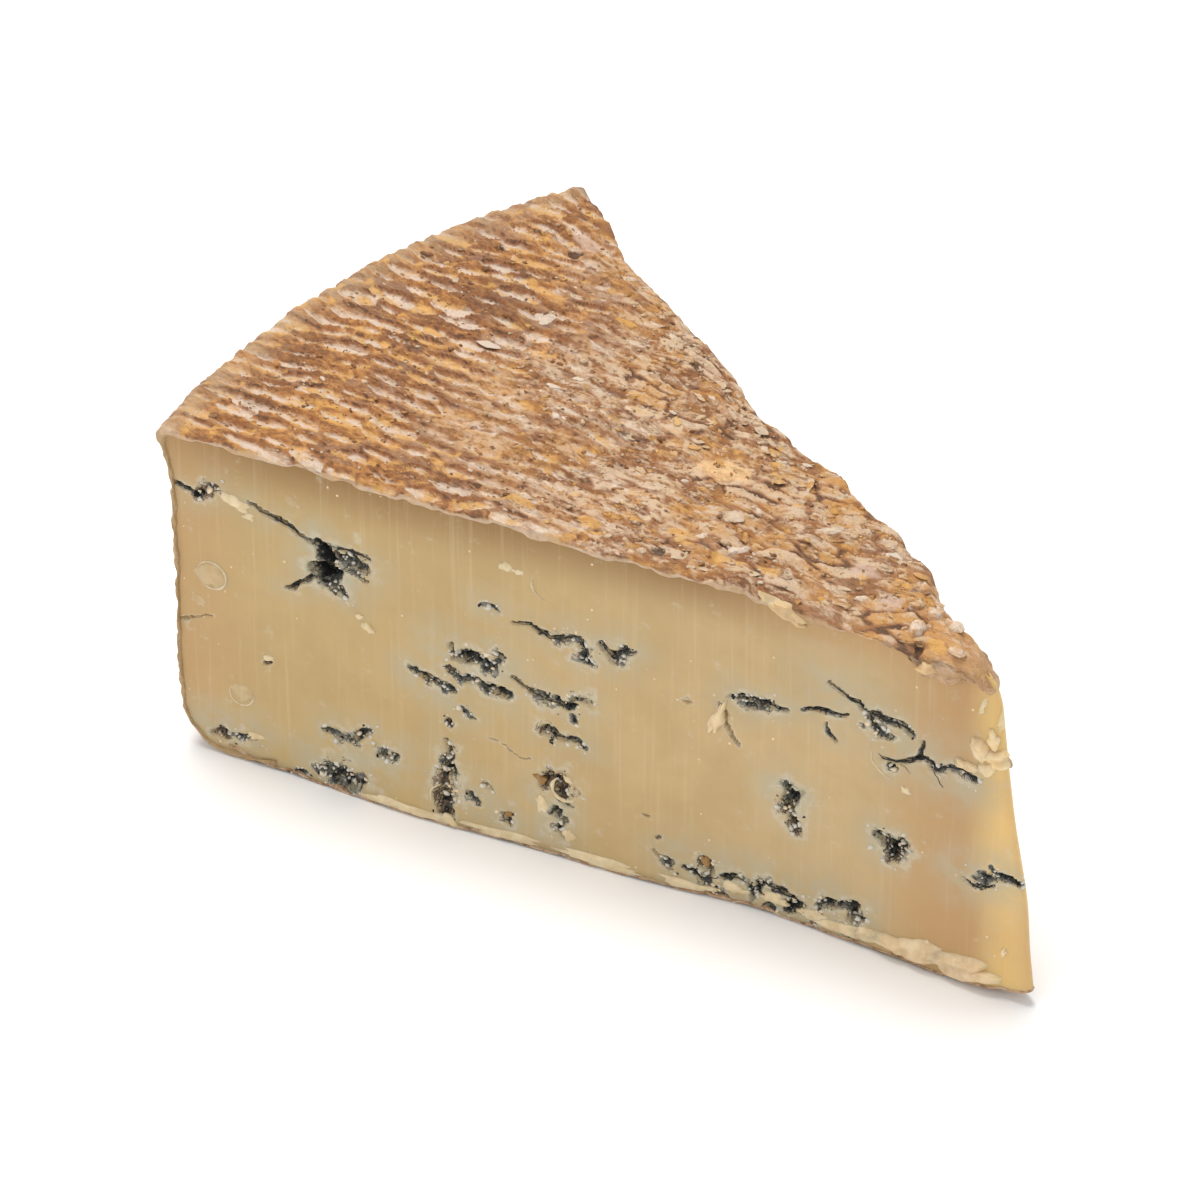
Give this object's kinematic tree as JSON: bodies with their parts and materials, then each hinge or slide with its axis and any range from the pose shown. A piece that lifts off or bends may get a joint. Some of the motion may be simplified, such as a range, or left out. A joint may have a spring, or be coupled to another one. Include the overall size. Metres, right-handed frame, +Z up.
{
  "type": "blue cheese wedge",
  "caption": "Wedge of blue-veined cheese cut from a natural-rind wheel, with a lumpy brown crust, two cut faces with mould cavities and a flat base.",
  "frame": {"origin": "centre of the bounding box in plan, on the surface the wedge stands on", "axes": "+X towards the wedge's tip, the rind edge faces -X, +Z up, the more open cut face looks towards -Y"},
  "size_m": [0.154, 0.0972, 0.065],
  "materials": {
    "paste": "cream to tan cheese paste, slightly waxy",
    "rind": "dry brown to ochre natural rind, rough and flaky",
    "mould": "blue-grey to black mould, matt"
  },
  "bodies": {
    "root": {"cheese_wedge": "paste"}
  },
  "joints": []
}
